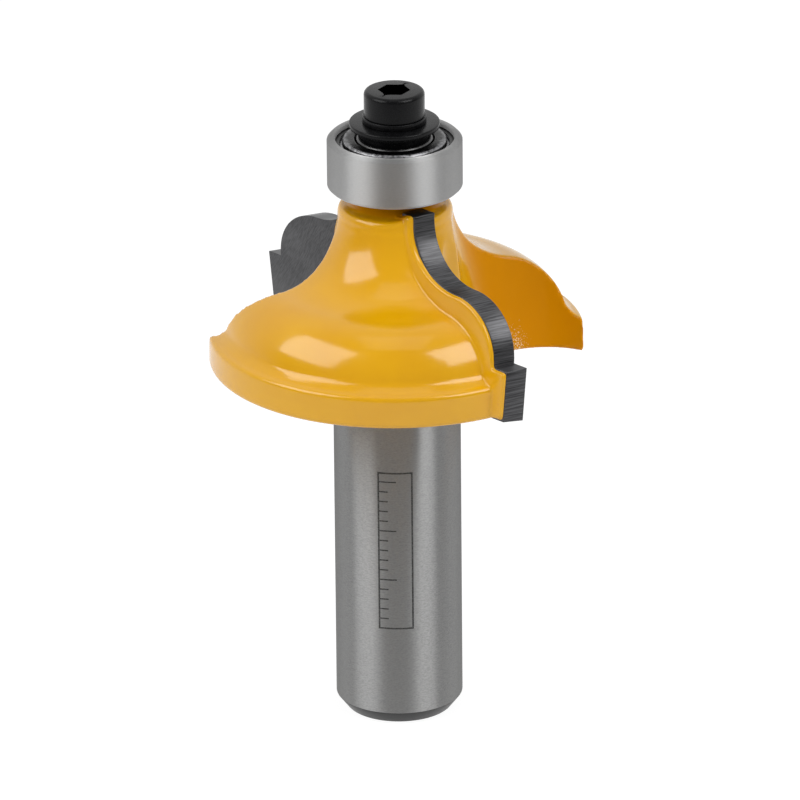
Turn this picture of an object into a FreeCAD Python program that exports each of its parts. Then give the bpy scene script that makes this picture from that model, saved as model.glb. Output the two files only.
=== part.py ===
import FreeCAD, Part
import math
import os

# Router bit with two brazed carbide tips, an ogee profile and a guide bearing.
# It stands on the end of its shank: the origin is the centre of that end face, +Z runs up to the screw,
# and the two tips lie on the X axis. Seen from the bearing end it cuts turning counter-clockwise.
# All sizes are in millimetres and all angles in degrees.

# Shank
shank_diameter = 12.0
shank_length = 35.35
shank_chamfer_radial = 1.0
shank_chamfer_axial = 1.3

# Cutting profile, as the wood sees it: rim, step, convex belly and concave cove
cutting_diameter = 38.1
shoulder_height = 4.95
step_width = 1.65
profile_neck_radius = 5.8
belly_share = 0.483
cove_cut_short = 0.1

# Turned steel head between the tips, which lies below the cutting profile
neck_below_tips = 1.35
neck_chamfer = 0.55
rim_setback = 1.4
shoulder_setback = 1.75
form_inward = 1.1
form_down = 2.1
form_belly_extra = 0.05
form_cove_extra = 1.45
form_slope = 9.6
rim_edge_break = 0.25
shoulder_chamfer = 0.75

# Carbide tips
tip_count = 2
tip_thickness = 2.0
tip_stands_proud = 0.15
tip_hangs_below = 0.2
tip_root_share = 0.43
tip_root_inside_neck = 1.7
rake_setback = 1.8
shear_angle = 6.3
relief_inward = 0.6
relief_down = 0.3

# Raised land that backs each tip, and the ramp behind it
land_width = 1.0
land_setback = 0.25
land_overcut = 0.1
land_below_tip = 0.35
land_above_bottom = 0.35
ramp_width = 0.8
ramp_drop = 2.0

# Gullet in front of each tip: a leaning round cut, and a slot along the rake face.
# Shares are of the cutting radius.
gullet_radius_share = 0.352
gullet_reach_share = 0.7
gullet_across_share = 0.349
gullet_lean = 0.33
slot_root_share = 0.42
slot_fillet = 2.4
slot_straight = 2.6
slot_lean = 0.17

# Guide bearing, a standard inch size. Shares are of the distance from its bore to its outside.
bearing_bore = 4.7625
bearing_diameter = 12.7
bearing_width = 4.978
bearing_chamfer = 0.3
bearing_over_tips = 0.88
ball_share = 0.6
ball_count = 7
ball_running_clearance = 0.02
groove_conformity = 0.52
inner_ring_share = 0.307
outer_rim_share = 0.197
shield_ledge_share = 0.106
snap_ring_share = 0.139
shield_wall_gap_share = 0.065
cage_gap_share = 0.1
cage_base = 0.2
cage_pocket_clearance = 0.06
cage_mouth_height = 0.9
shield_sheet = 0.2
shield_recess_depth = 0.95
shield_running_gap = 0.15
shield_crown_depth = 0.1
snap_ring_bite = 0.13
snap_ring_thickness = 0.25
snap_ring_gap = 36.0
snap_ring_play = 0.02

# Seat, spacer, washers and screw that hold the bearing
seat_inside_land = 0.3
seat_land_height = 0.35
seat_foot_radius = 4.8
stud_clearance = 0.02
stud_stops_short = 0.3
spacer_inside_land = 0.2
spacer_height = 1.04
dust_shield_overhang = 0.85
dust_shield_height = 0.5
lock_ring_diameter = 6.0
lock_ring_height = 0.6
screw_thread_diameter = 3.0
screw_thread_length = 12.0
screw_hole_clearance = 0.1
screw_head_diameter = 5.7
screw_head_height = 2.5
screw_head_chamfer = 0.3
socket_across_flats = 2.5
socket_depth = 1.3
socket_turn = 12.0
tapped_hole_spare = 1.5

# Places worked out from the sizes above
X_AXIS = FreeCAD.Vector(1, 0, 0)
Z_AXIS = FreeCAD.Vector(0, 0, 1)
origin = FreeCAD.Vector(0, 0, 0)

cutting_radius = cutting_diameter / 2
step_radius = cutting_radius - step_width
ogee_reach = step_radius - profile_neck_radius
belly_radius = belly_share * ogee_reach
cove_radius = ogee_reach - belly_radius
profile_height = shoulder_height + ogee_reach - cove_cut_short
head_bottom = shank_length
shoulder_z = head_bottom + shoulder_height
profile_top = head_bottom + profile_height
arc_centre_radius = step_radius - belly_radius
cove_centre_z = shoulder_z + ogee_reach
tip_root_bottom = tip_root_share * cutting_radius
tip_root_top = profile_neck_radius - tip_root_inside_neck
rim_radius = cutting_radius - rim_setback
form_shoulder_z = shoulder_z - shoulder_setback
head_top = profile_top - neck_below_tips

bearing_bottom = profile_top + bearing_over_tips
bearing_top = bearing_bottom + bearing_width
bearing_middle = bearing_bottom + bearing_width / 2
pitch_radius = (bearing_bore + bearing_diameter) / 4
section = (bearing_diameter - bearing_bore) / 2
ball_radius = ball_share * section / 2
groove_radius = groove_conformity * 2 * ball_radius
inner_land = bearing_bore / 2 + inner_ring_share * section
shield_recess = bearing_diameter / 2 - outer_rim_share * section
outer_land = shield_recess - shield_ledge_share * section
cage_gap = cage_gap_share * section
snap_ring_outer = shield_recess + snap_ring_bite
snap_ring_inner = snap_ring_outer - snap_ring_share * section
shield_crown = snap_ring_inner - shield_wall_gap_share * section
seat_radius = inner_land - seat_inside_land
stud_diameter = bearing_bore - 2 * stud_clearance
stud_top = bearing_top - stud_stops_short
spacer_diameter = 2 * (inner_land - spacer_inside_land)
spacer_top = bearing_top + spacer_height
dust_shield_diameter = spacer_diameter + 2 * dust_shield_overhang
dust_shield_top = spacer_top + dust_shield_height
lock_ring_top = dust_shield_top + lock_ring_height
screw_tip_z = lock_ring_top - screw_thread_length
tapped_hole_bottom = screw_tip_z - tapped_hole_spare


def point(radius, z):
    return FreeCAD.Vector(radius, 0, z)


def line(start, end):
    return Part.LineSegment(start, end).toShape()


def arc_about(centre, radius, first_angle, last_angle):
    # Arc in the XZ plane, its angles measured from +X towards +Z
    spots = []
    for angle in (first_angle, (first_angle + last_angle) / 2, last_angle):
        turn = math.radians(angle)
        spots.append(centre + FreeCAD.Vector(radius * math.cos(turn), 0, radius * math.sin(turn)))
    return Part.Arc(*spots).toShape()


def chain(*corners):
    edges = []
    for start, end in zip(corners, corners[1:]):
        edges.append(line(start, end))
    return edges


def spun(edges):
    # Solid of revolution about Z from the edges of a closed outline in the XZ plane
    return Part.Face(Part.Wire(edges)).revolve(origin, Z_AXIS, 360)


def turned(corners):
    # Solid of revolution about Z from a closed outline of (radius, z) corners
    outline = [point(radius, z) for radius, z in corners]
    return spun(chain(*outline, outline[0]))


def ring(inner_radius, outer_radius, bottom, height):
    top = bottom + height
    return turned([(inner_radius, bottom), (outer_radius, bottom), (outer_radius, top), (inner_radius, top)])


def around(shape, count):
    copies = []
    for index in range(count):
        copy = shape.copy()
        copy.rotate(origin, Z_AXIS, index * 360 / count)
        copies.append(copy)
    return copies


def edges_at(shape, radius, z):
    # Circular edges about Z with this radius at this height
    found = []
    for edge in shape.Edges:
        curve = edge.Curve
        if isinstance(curve, Part.Circle) and abs(curve.Radius - radius) < 0.001:
            if abs(curve.Center.z - z) < 0.001:
                found.append(edge)
    return found


def ogee_edges(setback, bottom, top):
    # Rim, shoulder, convex belly and concave cove of the cutting profile, set in by one amount
    side = step_radius - setback
    shoulder = shoulder_z - setback
    cove = cove_radius + setback
    cove_centre = point(arc_centre_radius, cove_centre_z)
    edges = chain(point(cutting_radius - setback, bottom), point(cutting_radius - setback, shoulder),
                  point(side, shoulder))
    if setback > 0:
        edges += chain(point(side, shoulder), point(side, shoulder_z))
    neck_angle = 180 + math.degrees(math.asin((cove_centre_z - top) / cove))
    edges.append(arc_about(point(arc_centre_radius, shoulder_z), belly_radius - setback, 0, 90))
    edges.append(arc_about(cove_centre, cove, 270, neck_angle))
    return edges


def ends_of(edge):
    return edge.valueAt(edge.FirstParameter), edge.valueAt(edge.LastParameter)


def closed_on(edges, bottom_root, top_root):
    # Closes a profile with a straight inner side
    first, last = ends_of(edges[0])[0], ends_of(edges[-1])[1]
    return edges + chain(last, point(top_root, last.z), point(bottom_root, first.z), first)


def on_rake_plane(shape, back):
    # Tilts a shape drawn in the XZ plane onto the rake plane, this far behind its front face
    placed = shape.copy()
    share = back / tip_thickness
    placed.translate(FreeCAD.Vector(-relief_inward * share, -back, -relief_down * share))
    centre = point(0, shoulder_z)
    placed.rotate(centre, X_AXIS, -shear_angle)
    placed.translate(FreeCAD.Vector(0, -rake_setback, 0))
    return placed


def between(front_edges, front, back_edges, back):
    # Solid between two like profiles that lie at these depths behind the rake face
    ends = [on_rake_plane(Part.Wire(front_edges), front), on_rake_plane(Part.Wire(back_edges), back)]
    return Part.makeLoft(ends, True, True)


def tip_root_at(z):
    # Where the straight inner side of a tip and of its pocket lies at this height
    return tip_root_bottom + (tip_root_top - tip_root_bottom) * (z - head_bottom) / profile_height


def make_tip():
    # Its flank falls away behind the edge, but its two ends are square to the rake face
    low = head_bottom - tip_hangs_below
    back_low = low + relief_down
    front = closed_on(ogee_edges(0, low, profile_top), tip_root_at(low), tip_root_top)
    back = closed_on(ogee_edges(0, back_low, profile_top), tip_root_at(back_low), tip_root_top)
    return between(front, 0, back, tip_thickness)


def make_seat_cutter():
    # Open pocket for one tip: its back and its straight inner side, cleared outwards
    reach = cutting_diameter
    low = head_bottom - profile_height / 2
    high = profile_top + profile_height / 2
    start = point(tip_root_at(low), low)
    pocket = chain(start, point(reach, low), point(reach, high), point(tip_root_at(high), high), start)
    return between(pocket, 0, pocket, tip_thickness)


def make_land():
    # Raised steel behind one tip: a strip of the turned blank that ends in a ramp down to the head
    bottom, top = head_bottom + land_above_bottom, profile_top - land_below_tip
    near = closed_on(ogee_edges(land_overcut, bottom, top), tip_root_bottom, tip_root_top / 2)
    sunk = land_overcut + ramp_drop
    far = closed_on(ogee_edges(sunk, bottom, top - ramp_drop / 2), tip_root_bottom - sunk, tip_root_top / 2)
    land_back = tip_thickness + land_width
    strip = between(near, tip_thickness / 2, near, land_back)
    ramp = between(near, land_back, far, land_back + ramp_width)
    blank = spun(closed_on(ogee_edges(land_setback, bottom, top), 0, 0))
    return [strip.common(blank), ramp.common(blank)]


def leaning_cut(corners, lean):
    # Prism through the whole head from a plan drawn at the head's underside. The plan is a list of points,
    # or of three points for an arc, and its axis leans inwards by this much for each millimetre of height.
    shear = math.tan(math.radians(shear_angle))
    way = FreeCAD.Vector(-lean, shear, 1)
    low = way * (-profile_height / 2)
    edges = []
    for corner in corners:
        spots = [FreeCAD.Vector(x, y, head_bottom) + low for x, y in corner]
        edges.append(Part.Arc(*spots).toShape() if len(spots) == 3 else line(*spots))
    return Part.Face(Part.Wire(edges)).extrude(way * (2 * profile_height))


def make_gullet():
    # Round cut that shapes the heel of the wing in front, opened outwards
    x = gullet_reach_share * cutting_radius
    y = gullet_across_share * cutting_radius
    radius = gullet_radius_share * cutting_radius
    far = cutting_diameter
    round_cut = leaning_cut([
        [(x, y + radius), (x - radius, y), (x, y - radius)],
        [(x, y - radius), (far, y - radius)],
        [(far, y - radius), (far, y + radius)],
        [(far, y + radius), (x, y + radius)],
    ], gullet_lean)

    # Slot along the rake face, with a round root
    tilt = math.radians(shear_angle)
    floor = -rake_setback - tip_stands_proud / math.cos(tilt) - math.tan(tilt) * shoulder_height
    root = slot_root_share * cutting_radius
    fillet = slot_fillet
    corner = fillet * (1 - math.sqrt(0.5))
    top = floor + fillet + slot_straight
    slot = leaning_cut([
        [(far, floor), (root + fillet, floor)],
        [(root + fillet, floor), (root + corner, floor + corner), (root, floor + fillet)],
        [(root, floor + fillet), (root, top)],
        [(root, top), (x, y)],
        [(x, y), (far, y)],
        [(far, y), (far, floor)],
    ], slot_lean)
    return [round_cut, slot]


def form_edges():
    # Outline of the turned head between its tips: rim, shoulder, belly and cove
    form_belly = belly_radius + form_belly_extra
    form_cove = cove_radius + form_cove_extra
    slope = math.radians(form_slope)
    reach = form_belly + form_cove
    belly_centre = point(arc_centre_radius - form_inward, shoulder_z - form_down)
    cove_centre = belly_centre + FreeCAD.Vector(reach * math.sin(slope), 0, reach * math.cos(slope))
    start = math.degrees(math.asin((form_shoulder_z - belly_centre.z) / form_belly))
    end = 180 + math.degrees(math.asin((cove_centre.z - head_top) / form_cove))
    belly = arc_about(belly_centre, form_belly, start, 90 - form_slope)
    cove = arc_about(cove_centre, form_cove, 270 - form_slope, end)
    flats = chain(point(rim_radius, head_bottom), point(rim_radius, form_shoulder_z), ends_of(belly)[0])
    return flats + [belly, cove]


def make_body():
    # One turned piece: shank, formed head, bearing seat and the stud that passes through the bearing
    shank_radius = shank_diameter / 2
    form = form_edges()
    shoulder_inside, neck = ends_of(form[1])[1], ends_of(form[-1])[1]
    below = chain(
        point(0, 0), point(shank_radius - shank_chamfer_radial, 0), point(shank_radius, shank_chamfer_axial),
        point(shank_radius, head_bottom), point(rim_radius, head_bottom))
    above = chain(
        neck, point(seat_foot_radius, head_top), point(seat_radius, bearing_bottom - seat_land_height),
        point(seat_radius, bearing_bottom),
        point(stud_diameter / 2, bearing_bottom), point(stud_diameter / 2, stud_top),
        point(0, stud_top), point(0, 0))
    body = spun(below + form + above)
    rim_edges = edges_at(body, rim_radius, head_bottom) + edges_at(body, rim_radius, form_shoulder_z)
    body = body.makeChamfer(rim_edge_break, rim_edges)
    body = body.makeChamfer(neck_chamfer, edges_at(body, neck.x, head_top))
    body = body.makeChamfer(shoulder_chamfer, edges_at(body, shoulder_inside.x, form_shoulder_z))

    for piece in make_land():
        body = body.fuse(around(piece, tip_count))
    for cut in make_gullet() + [make_seat_cutter()]:
        body = body.cut(around(cut, tip_count))
    tapped_hole = Part.makeCylinder(
        screw_thread_diameter / 2, stud_top - tapped_hole_bottom, point(0, tapped_hole_bottom))
    return body.cut(tapped_hole).removeSplitter()


def groove_edge(centre_radius, land_radius):
    # Ball groove as an arc in a ring's outline, from its upper edge to its lower edge
    half = math.degrees(math.acos(abs(land_radius - centre_radius) / groove_radius))
    middle = 0 if land_radius > centre_radius else 180
    side = 1 if land_radius > centre_radius else -1
    centre = point(centre_radius, bearing_middle)
    return arc_about(centre, groove_radius, middle + side * half, middle - side * half)


def make_outer_ring():
    outer = bearing_diameter / 2
    face = shield_recess
    slot = snap_ring_outer + snap_ring_play / 2
    slot_width = snap_ring_thickness + snap_ring_play
    lip = bearing_chamfer / 3
    upper_slot, lower_slot = snap_ring_places()
    groove = groove_edge(pitch_radius + ball_radius + ball_running_clearance - groove_radius, outer_land)
    groove_top, groove_bottom = ends_of(groove)
    outline = chain(
        groove_bottom, point(outer_land, bearing_bottom + shield_recess_depth),
        point(face, bearing_bottom + shield_recess_depth), point(face, lower_slot + slot_width),
        point(slot, lower_slot + slot_width), point(slot, lower_slot), point(face, lower_slot),
        point(face, bearing_bottom + lip), point(face + lip, bearing_bottom),
        point(outer - bearing_chamfer, bearing_bottom), point(outer, bearing_bottom + bearing_chamfer),
        point(outer, bearing_top - bearing_chamfer), point(outer - bearing_chamfer, bearing_top),
        point(face + lip, bearing_top), point(face, bearing_top - lip), point(face, upper_slot + slot_width),
        point(slot, upper_slot + slot_width), point(slot, upper_slot), point(face, upper_slot),
        point(face, bearing_top - shield_recess_depth), point(outer_land, bearing_top - shield_recess_depth),
        groove_top)
    return spun([groove] + outline)


def make_inner_ring():
    bore = bearing_bore / 2
    land = inner_land
    lip = bearing_chamfer / 2
    groove = groove_edge(pitch_radius - ball_radius - ball_running_clearance + groove_radius, land)
    groove_top, groove_bottom = ends_of(groove)
    outline = chain(
        groove_bottom, point(land, bearing_bottom + lip), point(land - lip, bearing_bottom),
        point(bore + lip, bearing_bottom), point(bore, bearing_bottom + lip), point(bore, bearing_top - lip),
        point(bore + lip, bearing_top), point(land - lip, bearing_top), point(land, bearing_top - lip),
        groove_top)
    return spun([groove] + outline)


def make_balls():
    ball = Part.makeSphere(ball_radius, point(pitch_radius, bearing_middle))
    return around(ball, ball_count)


def make_cage():
    # One-piece crown cage: a thin ring whose pockets open upwards, with mouths narrower than the balls
    pocket = ball_radius + cage_pocket_clearance
    bottom = bearing_middle - pocket - cage_base
    crown = ring(inner_land + cage_gap, outer_land - cage_gap, bottom,
                 bearing_middle + cage_mouth_height - bottom)
    hole = Part.makeCylinder(pocket, bearing_diameter / 2, point(0, bearing_middle), X_AXIS)
    return crown.cut(around(hole, ball_count))


def mirrored_in_bearing(shape):
    return shape.mirror(point(0, bearing_middle), Z_AXIS)


def shield_seat():
    # Height of the ledge in the outer ring that the top shield rests on
    return bearing_top - shield_recess_depth


def snap_ring_places():
    upper = shield_seat() + shield_sheet
    lower = 2 * bearing_middle - upper - snap_ring_thickness - snap_ring_play
    return [upper, lower]


def make_top_shield():
    # Pressed disc: a flange on the ledge, a short wall and a flat crown just under the bearing's face
    flange = shield_recess
    crown = shield_crown
    hole = inner_land + shield_running_gap
    seat = shield_seat()
    crown_top = bearing_top - shield_crown_depth
    return turned([
        (crown - shield_sheet, seat), (flange, seat), (flange, seat + shield_sheet),
        (crown, seat + shield_sheet), (crown, crown_top), (hole, crown_top),
        (hole, crown_top - shield_sheet), (crown - shield_sheet, crown_top - shield_sheet),
    ])


def make_top_snap_ring():
    # Split wire ring that holds the shield down in its recess
    bottom = snap_ring_places()[0]
    full = ring(snap_ring_inner, snap_ring_outer, bottom, snap_ring_thickness)
    gap = Part.makeCylinder(bearing_diameter, snap_ring_thickness, point(0, bottom), Z_AXIS, snap_ring_gap)
    return full.cut(gap)


def make_cap_screw():
    thread = Part.makeCylinder(
        screw_thread_diameter / 2, screw_thread_length, point(0, screw_tip_z))
    head_radius = screw_head_diameter / 2
    head = Part.makeCylinder(head_radius, screw_head_height, point(0, lock_ring_top))
    top = lock_ring_top + screw_head_height
    head = head.makeChamfer(screw_head_chamfer, edges_at(head, head_radius, top))
    corner = socket_across_flats / math.sqrt(3)
    corners = []
    for index in range(6):
        turn = math.radians(60 * index + socket_turn)
        corners.append(FreeCAD.Vector(corner * math.cos(turn), corner * math.sin(turn), top - socket_depth))
    hexagon = Part.Face(Part.Wire(chain(*corners, corners[0])))
    return thread.fuse(head).removeSplitter().cut(hexagon.extrude(FreeCAD.Vector(0, 0, socket_depth)))


def make_washer(outer_diameter, bottom, height):
    return ring(screw_thread_diameter / 2 + screw_hole_clearance, outer_diameter / 2, bottom, height)


# Every piece of the bit, under the name of its file
pieces = {
    "cutter_body": make_body(),
    "bearing_outer_ring": make_outer_ring(),
    "bearing_inner_ring": make_inner_ring(),
    "ball_cage": make_cage(),
    "bearing_shield_top": make_top_shield(),
    "bearing_shield_bottom": mirrored_in_bearing(make_top_shield()),
    "shield_snap_ring_top": make_top_snap_ring(),
    "shield_snap_ring_bottom": mirrored_in_bearing(make_top_snap_ring()),
    "spacer_ring": make_washer(spacer_diameter, bearing_top, spacer_height),
    "dust_shield_washer": make_washer(dust_shield_diameter, spacer_top, dust_shield_height),
    "lock_ring": make_washer(lock_ring_diameter, dust_shield_top, lock_ring_height),
    "cap_screw": make_cap_screw(),
}
for number, tip in enumerate(around(make_tip(), tip_count), start=1):
    pieces[f"carbide_tip_{number}"] = tip
for number, ball in enumerate(make_balls(), start=1):
    pieces[f"bearing_ball_{number}"] = ball

os.makedirs("parts", exist_ok=True)
for name, shape in pieces.items():
    box = shape.BoundBox
    print(f"{name}: {len(shape.Solids)} solid, valid {shape.isValid()}, volume {shape.Volume:.2f} mm3, "
          f"z {box.ZMin:.2f} to {box.ZMax:.2f}")
    shape.exportStep(f"parts/{name}.step")
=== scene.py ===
import math
import bmesh
import bpy
from mathutils import Matrix, Vector


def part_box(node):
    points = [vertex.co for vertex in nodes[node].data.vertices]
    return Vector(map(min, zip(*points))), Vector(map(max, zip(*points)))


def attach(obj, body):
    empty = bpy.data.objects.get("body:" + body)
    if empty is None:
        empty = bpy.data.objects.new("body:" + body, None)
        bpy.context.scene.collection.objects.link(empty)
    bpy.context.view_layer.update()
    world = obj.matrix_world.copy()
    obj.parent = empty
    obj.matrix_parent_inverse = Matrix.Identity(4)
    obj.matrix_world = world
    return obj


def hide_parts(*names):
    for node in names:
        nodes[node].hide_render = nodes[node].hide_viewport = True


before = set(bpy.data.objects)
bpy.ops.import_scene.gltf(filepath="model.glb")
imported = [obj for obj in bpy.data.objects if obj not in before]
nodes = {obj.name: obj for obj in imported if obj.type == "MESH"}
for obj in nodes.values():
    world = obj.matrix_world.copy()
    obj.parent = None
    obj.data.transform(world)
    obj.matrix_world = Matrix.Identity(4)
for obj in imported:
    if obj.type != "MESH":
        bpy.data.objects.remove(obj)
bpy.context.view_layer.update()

mm = 0.001


def boxInMm(node):
    # Lowest and highest corners of a CAD node
    return [[value / mm for value in corner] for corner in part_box(node)]


# Driving sizes in mm: the other sizes follow from these and from the CAD nodes

shankRadius = 6.0
headBottom = 35.35
shoulderHeight = 4.95
tipsBelowBearing = 0.88

bearingLow, bearingHigh = boxInMm("bearing_outer_ring")
cuttingRadius = boxInMm("carbide_tip_1")[1][0]
shoulder = headBottom + shoulderHeight
tipTop = bearingLow[2] - tipsBelowBearing


# Meshes and pieces

def spinOutline(corners, steps, closed=True, turn=360.0):
    # Turns an outline of (radius, height) in mm about the Z axis
    shape = bmesh.new()
    spots = [shape.verts.new((radius * mm, 0, height * mm)) for radius, height in corners]
    pairs = list(zip(spots, spots[1:]))
    if closed:
        pairs.append((spots[-1], spots[0]))
    lines = [shape.edges.new(pair) for pair in pairs]
    full = turn >= 360
    bmesh.ops.spin(shape, geom=spots + lines, axis=(0, 0, 1), cent=(0, 0, 0), dvec=(0, 0, 0),
                   angle=math.radians(turn), steps=steps, use_merge=full)
    bmesh.ops.remove_doubles(shape, verts=shape.verts, dist=1e-8)
    if not full:
        bmesh.ops.holes_fill(shape, edges=shape.edges, sides=0)
    bmesh.ops.recalc_face_normals(shape, faces=shape.faces)
    return shape


def softenEdges(shape, width, segments=2, sharperThan=35.0):
    # Rounds every edge that is sharper than the angle; width is in mm
    shape.normal_update()
    limit = math.radians(sharperThan)
    sharp = [edge for edge in shape.edges if edge.is_manifold and edge.calc_face_angle(0) > limit]
    bmesh.ops.bevel(shape, geom=sharp, offset=width * mm, offset_type="OFFSET", segments=segments,
                    profile=0.5, affect="EDGES", material=-1, clamp_overlap=True)


def arcCorners(centreRadius, centreHeight, radius, startAngle, endAngle, count):
    spots = []
    for index in range(count + 1):
        angle = math.radians(startAngle + (endAngle - startAngle) * index / count)
        spots.append((centreRadius + radius * math.cos(angle), centreHeight + radius * math.sin(angle)))
    return spots


def asObject(name, shape):
    mesh = bpy.data.meshes.new(name)
    shape.to_mesh(mesh)
    shape.free()
    made = bpy.data.objects.new(name, mesh)
    bpy.context.scene.collection.objects.link(made)
    return made


def makePiece(name, shape, material, body, replaced, smoothAngle=32.0):
    piece = asObject(name, shape)
    piece.data.materials.clear()
    piece.data.materials.append(material)
    piece.data.shade_smooth()
    piece.data.set_sharp_from_angle(angle=math.radians(smoothAngle))
    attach(piece, body)
    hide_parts(*replaced)
    return piece


def mergedCopy(node):
    # Mesh of a CAD node with its loose triangles joined
    shape = bmesh.new()
    shape.from_mesh(nodes[node].data)
    bmesh.ops.remove_doubles(shape, verts=shape.verts, dist=2e-7)
    return shape


def addShape(shape, other):
    # Puts another shape's faces into this one
    mesh = bpy.data.meshes.new("addition")
    other.to_mesh(mesh)
    other.free()
    shape.from_mesh(mesh)
    bpy.data.meshes.remove(mesh)


def dressNode(node, material):
    owner = nodes[node]
    owner.data.materials.clear()
    owner.data.materials.append(material)


def step01(value, low, high):
    share = min(1, max(0, (value - low) / (high - low)))
    return share * share * (3 - 2 * share)


# Shader nodes

def newMaterial(name, colour, metallic, roughness, **sockets):
    material = bpy.data.materials.new(name)
    material.use_nodes = True
    shader = material.node_tree.nodes["Principled BSDF"]
    shader.inputs["Base Color"].default_value = (*colour, 1)
    shader.inputs["Metallic"].default_value = metallic
    shader.inputs["Roughness"].default_value = roughness
    for socket, value in sockets.items():
        shader.inputs[socket.replace("_", " ")].default_value = value
    return material, material.node_tree, shader


def addNode(tree, kind, **settings):
    node = tree.nodes.new(kind)
    for key, value in settings.items():
        setattr(node, key, value)
    return node


def feed(tree, source, target):
    # source is a node's output, or a number or colour for an unlinked socket
    if hasattr(source, "links"):
        tree.links.new(source, target)
    else:
        target.default_value = source


def calc(tree, operation, *values):
    node = addNode(tree, "ShaderNodeMath", operation=operation)
    for value, socket in zip(values, node.inputs):
        feed(tree, value, socket)
    return node.outputs[0]


def objectPoint(tree, scale=(1, 1, 1), turn=(0, 0, 0)):
    # Object coordinates, turned first and then stretched
    coordinates = addNode(tree, "ShaderNodeTexCoord")
    turned = addNode(tree, "ShaderNodeMapping")
    turned.inputs["Rotation"].default_value = [math.radians(angle) for angle in turn]
    tree.links.new(coordinates.outputs["Object"], turned.inputs["Vector"])
    stretched = addNode(tree, "ShaderNodeMapping")
    stretched.inputs["Scale"].default_value = scale
    tree.links.new(turned.outputs[0], stretched.inputs["Vector"])
    return stretched.outputs[0]


def splitPoint(tree, point):
    split = addNode(tree, "ShaderNodeSeparateXYZ")
    tree.links.new(point, split.inputs[0])
    return split.outputs


def noise(tree, vector, size, detail=2.0, rough=0.5):
    # Fine noise whose bumps are about this many mm across
    node = addNode(tree, "ShaderNodeTexNoise")
    feed(tree, vector, node.inputs["Vector"])
    node.inputs["Scale"].default_value = 1 / (size * mm)
    node.inputs["Detail"].default_value = detail
    node.inputs["Roughness"].default_value = rough
    return node.outputs["Fac"]


def spread(tree, value, low, high, outLow=0.0, outHigh=1.0):
    node = addNode(tree, "ShaderNodeMapRange")
    for source, socket in zip((value, low, high, outLow, outHigh), node.inputs):
        feed(tree, source, socket)
    return node.outputs[0]


def blendColours(tree, share, first, second):
    node = addNode(tree, "ShaderNodeMix", data_type="RGBA")
    feed(tree, share, node.inputs["Factor"])
    feed(tree, first, node.inputs[6])
    feed(tree, second, node.inputs[7])
    return node.outputs[2]


def mottled(tree, pattern, colour, darker, paler, low, high):
    # The colour made darker or paler by these shares where the pattern is low or high
    dark = [value * (1 - darker) for value in colour]
    pale = [value * (1 + paler) for value in colour]
    return blendColours(tree, spread(tree, pattern, low, high), (*dark, 1), (*pale, 1))


def varyRoughness(tree, shader, pattern, roughness, less, more, low=0.3, high=0.7):
    tree.links.new(spread(tree, pattern, low, high, roughness - less, roughness + more),
                   shader.inputs["Roughness"])


def addBump(tree, shader, height, strength, depth):
    node = addNode(tree, "ShaderNodeBump")
    node.inputs["Strength"].default_value = strength
    node.inputs["Distance"].default_value = depth * mm
    feed(tree, height, node.inputs["Height"])
    tree.links.new(node.outputs[0], shader.inputs["Normal"])


# Yellow paint

paint = {
    "colour": (0.735, 0.374, 0.001),
    "deepColour": (0.69, 0.335, 0.001),
    # painted shade for the gullets' heel walls and the hollow under the bearing
    "paintedShadeColour": (0.66, 0.25, 0.0, 1),
    "cloudSize": 7.0,
    "roughness": 0.165,
    "roughnessPatch": 2.5,
    "gloss": 0.5,
    "coat": 0.15,
    "coatRoughness": 0.06,
    "glossInPaintedShade": 0.28,      # share of the gloss kept where shade is painted on the gullets' heel walls and under the bearing
    "peelSize": 0.9,
    "peelDepth": 0.012,
    "peelStrength": 0.35,
    "speckPlace": (7.1, 9.1, 36.3),
    "speckStretch": (1.6, 1.6, 0.7),
    "speckReach": 2.6,
    "speckCore": 0.3,
    "speckSize": 0.13,
    "speckDensity": 0.22,
    "speckBand": (0.74, 0.8),
    "speckColour": (0.9, 0.75, 0.5, 1),
}


def paintSpecks(tree, point, colour):
    # A few pale specks low on one gullet wall
    stretch = paint["speckStretch"]
    away = addNode(tree, "ShaderNodeVectorMath", operation="DISTANCE")
    tree.links.new(objectPoint(tree, scale=stretch), away.inputs[0])
    away.inputs[1].default_value = [value * mm * share for value, share in zip(paint["speckPlace"], stretch)]
    near = spread(tree, away.outputs["Value"], paint["speckReach"] * mm, paint["speckCore"] * mm)
    specks = noise(tree, point, paint["speckSize"], 1)
    dense = calc(tree, "ADD", specks, calc(tree, "MULTIPLY", near, paint["speckDensity"]))
    share = spread(tree, dense, *paint["speckBand"])
    return blendColours(tree, calc(tree, "MULTIPLY", share, near), colour, paint["speckColour"])


def makePaint():
    material, tree, shader = newMaterial("yellowPaint", paint["colour"], 0, paint["roughness"],
                                         Coat_Roughness=paint["coatRoughness"])
    point = objectPoint(tree)
    cloud = noise(tree, point, paint["cloudSize"], 3)
    colour = blendColours(tree, spread(tree, cloud, 0.35, 0.65), (*paint["colour"], 1), (*paint["deepColour"], 1))
    # painted shade: deeper orange and less gloss on the gullets' heel walls and in the hollow under the bearing
    shadeShare = addNode(tree, "ShaderNodeAttribute", attribute_name="paintedShade").outputs["Fac"]
    colour = blendColours(tree, shadeShare, colour, paint["paintedShadeColour"])
    for socket, level in (("Specular IOR Level", paint["gloss"]), ("Coat Weight", paint["coat"])):
        tree.links.new(spread(tree, shadeShare, 0, 1, level, level * paint["glossInPaintedShade"]), shader.inputs[socket])
    tree.links.new(paintSpecks(tree, point, colour), shader.inputs["Base Color"])
    varyRoughness(tree, shader, noise(tree, point, paint["roughnessPatch"]), paint["roughness"], 0.03, 0.05)
    addBump(tree, shader, noise(tree, point, paint["peelSize"], 2), paint["peelStrength"],
            paint["peelDepth"])
    return material


# Ground steel of the shank and of the bearing's outer ring

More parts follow.
